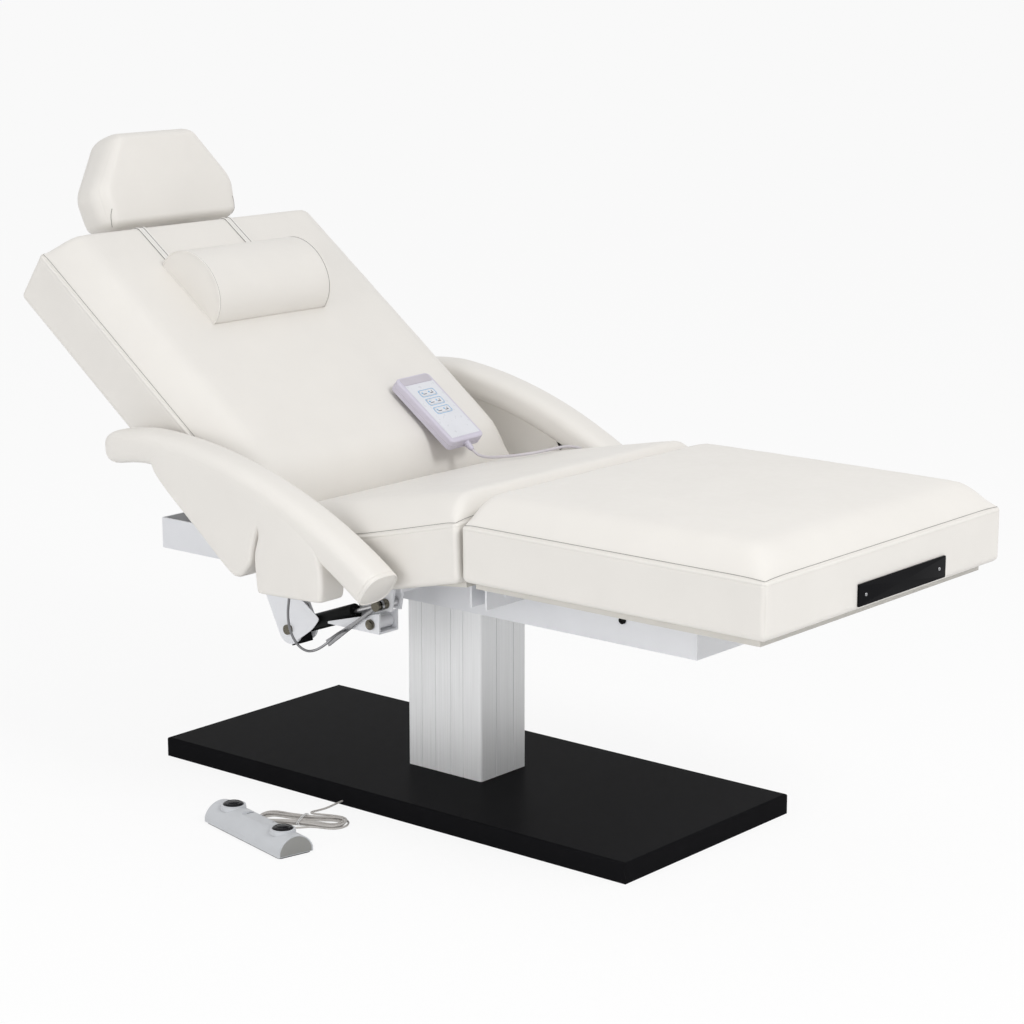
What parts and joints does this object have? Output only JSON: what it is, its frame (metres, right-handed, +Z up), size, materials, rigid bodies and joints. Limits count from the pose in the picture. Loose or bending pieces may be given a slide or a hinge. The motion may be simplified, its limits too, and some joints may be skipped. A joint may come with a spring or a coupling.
{
  "type": "electric spa treatment table",
  "caption": "Pedestal treatment table with padded seat, hinged back and leg sections, bowed armrests, tilting head pillow, neck bolster, lifting column, hand control and foot control.",
  "frame": {"origin": "on the floor under the middle of the lifting column", "axes": "+Z up, +X towards the foot end, -X towards the head end, -Y the near side with the gas spring"},
  "size_m": [1.9368, 1.0448, 1.2644],
  "materials": {
    "vinyl": "satin",
    "boards": "matt",
    "frame_white": "satin",
    "base_black": "satin",
    "column_metal": "brushed",
    "steel": "satin",
    "bolts": "plated",
    "glides": "matt",
    "control_case": "matt",
    "hand_shell": "satin",
    "hand_keys": "satin",
    "foot_shell": "metallic",
    "foot_black": "matt",
    "cords": "matt",
    "cable": "matt"
  },
  "bodies": {
    "base": {"base_plate": "base_black", "column_outer": "column_metal", "column_glides": "glides", "lift_jack_tube": "column_metal", "foot_housing": "foot_shell", "foot_sole": "foot_black", "foot_cord_hank": "cords", "foot_cord_tail": "cords"},
    "lift": {"column_inner": "column_metal", "lift_jack_rod": "steel", "column_head_plate": "frame_white", "frame_floor": "frame_white", "frame_side_near": "frame_white", "frame_side_far": "frame_white", "frame_end_head": "frame_white", "frame_end_foot": "frame_white", "control_box": "control_case", "seat_bearers": "frame_white", "seat_cushion": "vinyl", "seat_board": "boards", "back_hinge_shaft": "steel", "hinge_blocks": "frame_white", "spring_rod": "steel", "spring_lugs": "frame_white", "spring_lug_bolt": "bolts", "knee_hinge_fixed": "frame_white", "knee_hinge_pin": "steel", "leg_jack_tube": "column_metal", "arm_bracket_near": "frame_white", "arm_bracket_far": "frame_white", "hand_cord": "cords", "cord_gland": "cords", "release_cable": "cable", "release_lever": "steel"},
    "back": {"back_board": "boards", "back_cushion": "vinyl", "back_levers": "frame_white", "spring_pin": "bolts", "head_sockets": "column_metal", "neck_bolster": "vinyl", "bolster_straps": "vinyl", "hand_control": "hand_shell"},
    "spring": {"spring_cylinder": "base_black"},
    "head_slider": {"head_yoke": "steel"},
    "head_rest": {"head_board": "boards", "head_pillow": "vinyl"},
    "leg": {"leg_board": "boards", "leg_cushion": "vinyl", "end_plate": "base_black", "knee_hinge_moving": "frame_white"},
    "leg_jack": {"leg_jack_rod": "steel"},
    "arm_near": {"arm_pad_near": "vinyl", "arm_panel_near": "vinyl"},
    "arm_far": {"arm_pad_far": "vinyl", "arm_panel_far": "vinyl"},
    "pedal_head": {"foot_pedal_head": "foot_black"},
    "pedal_foot": {"foot_pedal_foot": "foot_black"},
    "key_1": {"hand_key_1": "hand_keys"},
    "key_2": {"hand_key_2": "hand_keys"},
    "key_3": {"hand_key_3": "hand_keys"}
  },
  "joints": [
    {"name": "lift", "type": "slide", "parent": "base", "child": "lift", "axis": [0, 0, 1], "range_m": [0, 0.27]},
    {"name": "back_hinge", "type": "hinge", "parent": "lift", "child": "back", "pos_m": [-0.243, 0, 0.461], "axis": [0, 1, 0], "range_deg": [-36, 0]},
    {"name": "spring_slide", "type": "slide", "parent": "lift", "child": "spring", "axis": [-0.9397, 0, -0.342], "range_m": [-0.075, 0.002]},
    {"name": "head_slide", "type": "slide", "parent": "back", "child": "head_slider", "axis": [-0.7976, 0, 0.6032], "range_m": [0, 0.07]},
    {"name": "head_tilt", "type": "hinge", "parent": "head_slider", "child": "head_rest", "pos_m": [-0.92045, 0, 1.04733], "axis": [0, 1, 0], "range_deg": [-30, 0]},
    {"name": "knee_hinge", "type": "hinge", "parent": "lift", "child": "leg", "pos_m": [0.318, 0, 0.531], "axis": [0, 1, 0], "range_deg": [0, 8]},
    {"name": "leg_jack_slide", "type": "slide", "parent": "lift", "child": "leg_jack", "axis": [0, 0, 1], "range_m": [-0.038, 0]},
    {"name": "arm_near_pivot", "type": "hinge", "parent": "lift", "child": "arm_near", "pos_m": [-0.04, -0.404, 0.492], "axis": [0, -1, 0], "range_deg": [0, 60]},
    {"name": "arm_far_pivot", "type": "hinge", "parent": "lift", "child": "arm_far", "pos_m": [-0.04, 0.404, 0.492], "axis": [0, -1, 0], "range_deg": [0, 60]},
    {"name": "pedal_head_press", "type": "slide", "parent": "base", "child": "pedal_head", "axis": [0, 0, -1], "range_m": [0, 0.004], "stiffness_N_per_m": 400},
    {"name": "pedal_foot_press", "type": "slide", "parent": "base", "child": "pedal_foot", "axis": [0, 0, -1], "range_m": [0, 0.004], "stiffness_N_per_m": 400},
    {"name": "key_1_rock", "type": "hinge", "parent": "back", "child": "key_1", "pos_m": [-0.2473, 0.16454, 0.74671], "axis": [0.7971, 0.0349, -0.6028], "range_deg": [-3, 3], "stiffness_Nm_per_rad": 0.05},
    {"name": "key_2_rock", "type": "hinge", "parent": "back", "child": "key_2", "pos_m": [-0.22737, 0.16541, 0.73164], "axis": [0.7971, 0.0349, -0.6028], "range_deg": [-3, 3], "stiffness_Nm_per_rad": 0.05},
    {"name": "key_3_rock", "type": "hinge", "parent": "back", "child": "key_3", "pos_m": [-0.20744, 0.16629, 0.71657], "axis": [0.7971, 0.0349, -0.6028], "range_deg": [-3, 3], "stiffness_Nm_per_rad": 0.05}
  ],
  "couplings": [
    {"joint": "spring_slide", "follows": "back_hinge", "m_per_rad": 0.1145},
    {"joint": "leg_jack_slide", "follows": "knee_hinge", "m_per_rad": -0.265}
  ]
}
